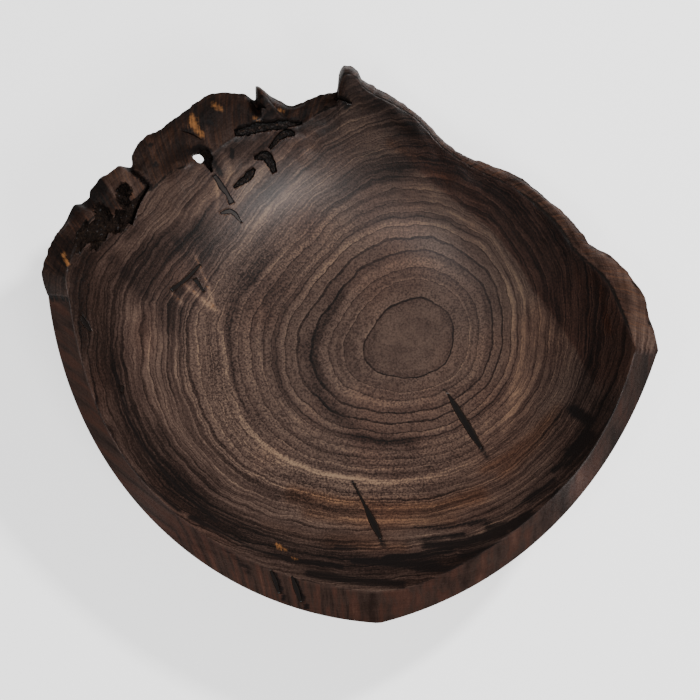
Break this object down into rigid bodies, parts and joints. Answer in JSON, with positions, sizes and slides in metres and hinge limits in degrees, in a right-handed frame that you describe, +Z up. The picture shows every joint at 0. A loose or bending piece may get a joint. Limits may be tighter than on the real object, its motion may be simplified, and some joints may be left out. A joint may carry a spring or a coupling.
{
  "type": "wooden bowl",
  "caption": "Turned walnut bowl with sawn rim faces at the front and a natural live edge of lobes, horns and cracks at the back, filled cracks and bark pockets.",
  "frame": {"origin": "centre of the flat foot, on the turning axis, at the level of the surface it rests on", "axes": "+Z up along the turning axis, +X towards the right-hand corner of the rim, -Y towards the corner between the two sawn rim faces"},
  "size_m": [0.3526, 0.3263, 0.0878],
  "materials": {
    "walnut": "oiled, satin",
    "dark_resin": "polished flush",
    "blue_grey_resin": "polished flush",
    "bark": "rough, matte"
  },
  "bodies": {
    "root": {"bowl_body": "walnut", "floor_crack_fill_right": "dark_resin", "floor_crack_fill_front": "dark_resin", "knot_bar_fill": "dark_resin", "knot_leg_fill": "dark_resin", "left_wall_slit_fill": "dark_resin", "pin_knot_fill": "dark_resin", "back_check_fill": "blue_grey_resin", "back_check_foot_fill": "blue_grey_resin", "rim_check_fill_left": "dark_resin", "rim_check_fill_right": "dark_resin", "bark_slot_inclusion": "bark", "bark_boot_inclusion": "bark", "bark_toe_inclusion": "bark", "bark_spindle_inclusion": "bark"}
  },
  "joints": []
}
